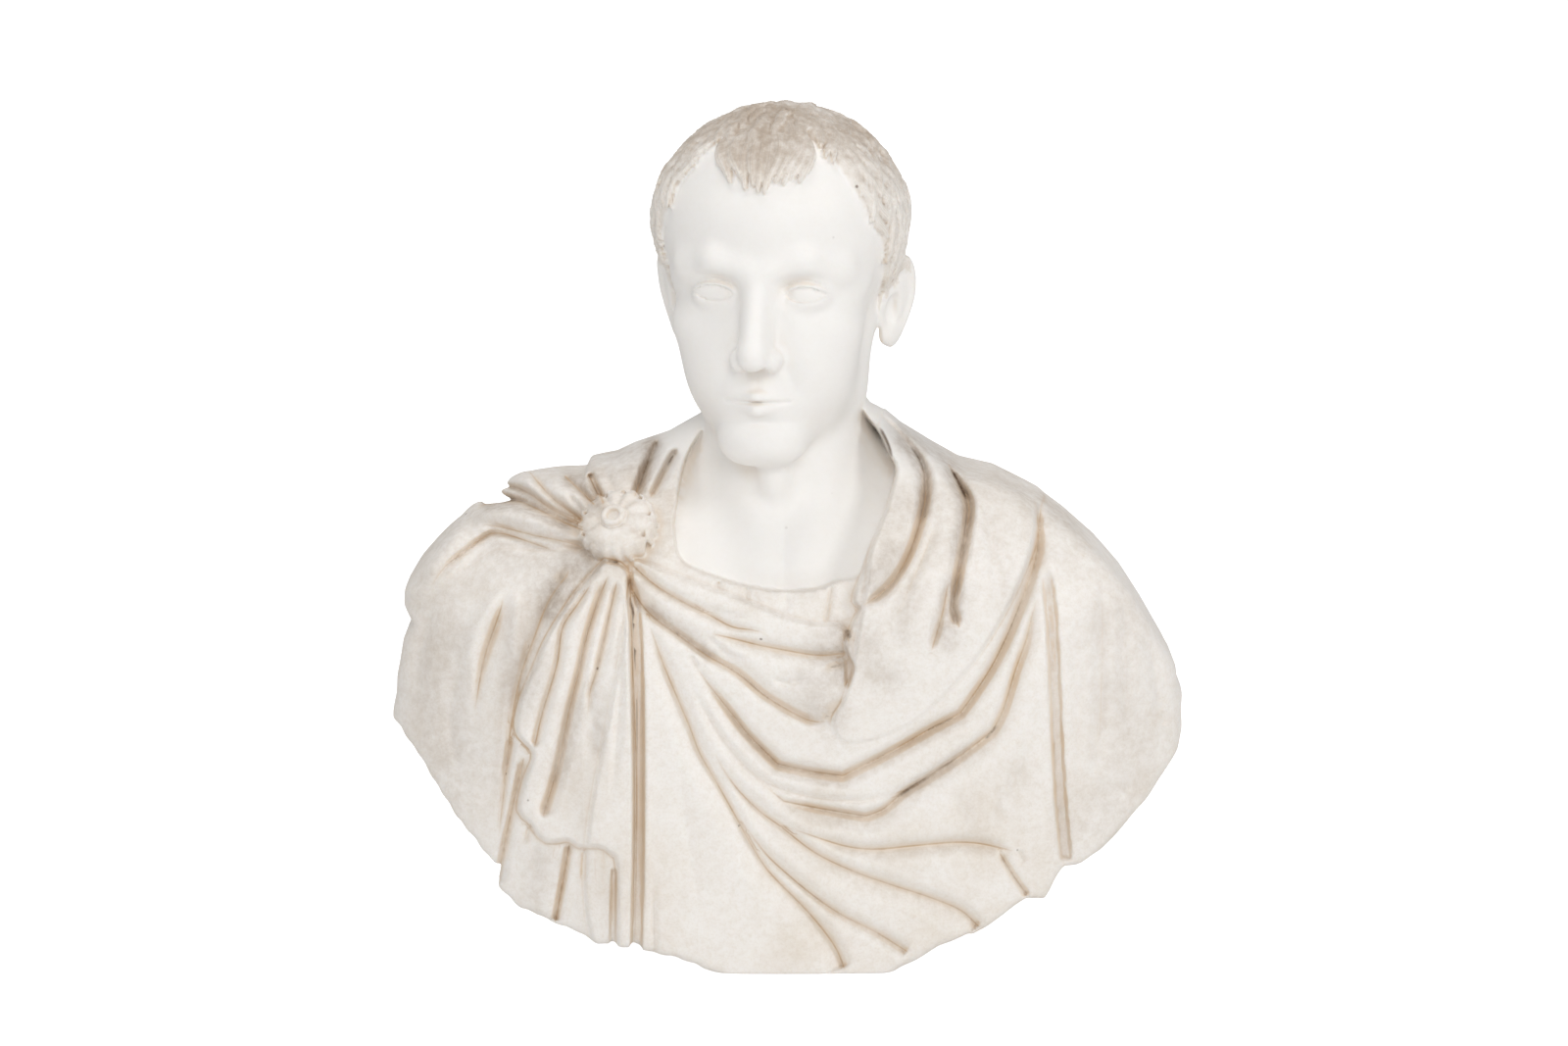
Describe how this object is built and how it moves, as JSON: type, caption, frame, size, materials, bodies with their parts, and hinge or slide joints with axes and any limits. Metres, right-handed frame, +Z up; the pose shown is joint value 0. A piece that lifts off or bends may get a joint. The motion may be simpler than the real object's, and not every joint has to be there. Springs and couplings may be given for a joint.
{
  "type": "roman emperor bust",
  "caption": "Life-size carved marble bust of a calm short-haired man in tunic and draped cloak held by a round brooch, cut away in a curve below the chest.",
  "frame": {"origin": "Middle of the flat underside, on the surface that the bust stands on", "axes": "+Z up to the crown, -Y out of the front of the chest, +X towards the figure's left shoulder, which is on the viewer's right"},
  "size_m": [0.5808, 0.2559, 0.6152],
  "materials": {
    "marble": "carved and smoothed white marble, weathered, brown dirt in the folds"
  },
  "bodies": {
    "root": {"marble_bust": "marble"}
  },
  "joints": []
}
